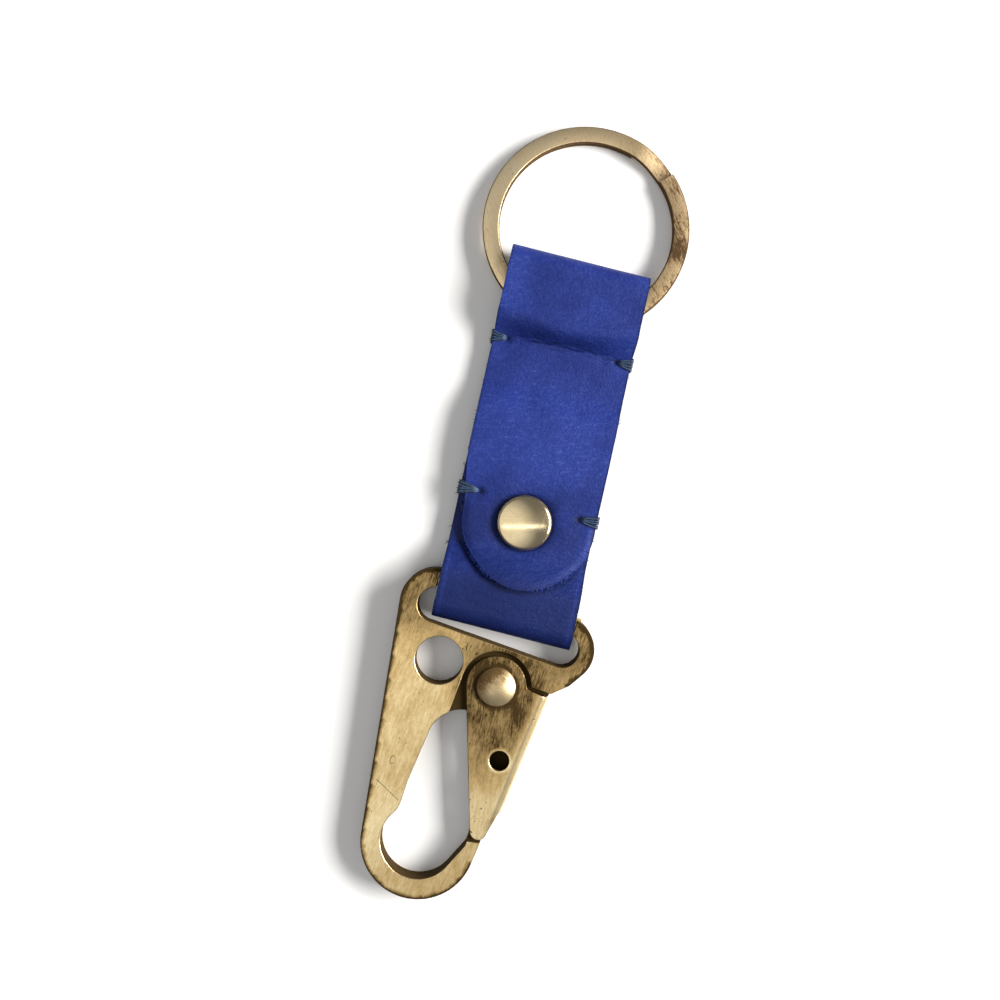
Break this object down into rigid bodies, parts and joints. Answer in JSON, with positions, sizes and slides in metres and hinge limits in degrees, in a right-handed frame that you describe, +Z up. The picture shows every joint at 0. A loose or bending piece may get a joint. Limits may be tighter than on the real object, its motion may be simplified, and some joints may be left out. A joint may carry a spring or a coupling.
{
  "type": "carabiner keyring",
  "caption": "Leather strap keyring: a folded strap joins a split key ring to a flat snap hook with a sprung gate, held by a cap rivet and thread tacks.",
  "frame": {"origin": "on the surface it lies on, under the middle of its outline", "axes": "+Y along the strap towards the split ring, +Z up out of the front face with the rivet cap and the gate's high dome, +X to the gate's side"},
  "size_m": [0.0376, 0.1433, 0.0077],
  "materials": {
    "leather": "royal blue, matt",
    "thread": "dark blue waxed thread",
    "antique_brass": "antique brass, brushed, with brown patina",
    "pale_brass": "pale antique brass, polished",
    "spring_steel": "bright wire"
  },
  "bodies": {
    "strap": {"strap": "leather", "rivet_cap": "pale_brass", "rivet_post": "pale_brass", "tack_upper_left": "thread", "tack_upper_right": "thread", "tack_lower_left": "thread", "tack_lower_right": "thread"},
    "ring_loop": {"ring_loop": "leather"},
    "ring": {"split_ring": "antique_brass"},
    "hook": {"hook_body": "antique_brass", "gate_rivet": "pale_brass", "gate_spring": "spring_steel"},
    "gate": {"gate": "antique_brass"}
  },
  "joints": [
    {"name": "ring_loop_bend", "type": "hinge", "parent": "strap", "child": "ring_loop", "pos_m": [0.0005, 0.03247, 0.0014], "axis": [1, 0, 0], "range_deg": [-45, 45]},
    {"name": "ring_spin", "type": "hinge", "parent": "ring_loop", "child": "ring", "pos_m": [0, 0.05287, 0.00197], "axis": [0, 0.0555, 0.9985], "continuous": true},
    {"name": "hook_swing", "type": "hinge", "parent": "strap", "child": "hook", "pos_m": [0.00055, -0.01582, 0.00315], "axis": [-0.9919, 0.1271, 0], "range_deg": [-135, 135]},
    {"name": "gate_open", "type": "hinge", "parent": "hook", "child": "gate", "pos_m": [0.00184, -0.0309, 0.00285], "axis": [0.0026, 0.0203, -0.9998], "range_deg": [0, 27], "stiffness_Nm_per_rad": 0.08, "springref_deg": -22.92, "deforming": ["gate_spring"]}
  ]
}
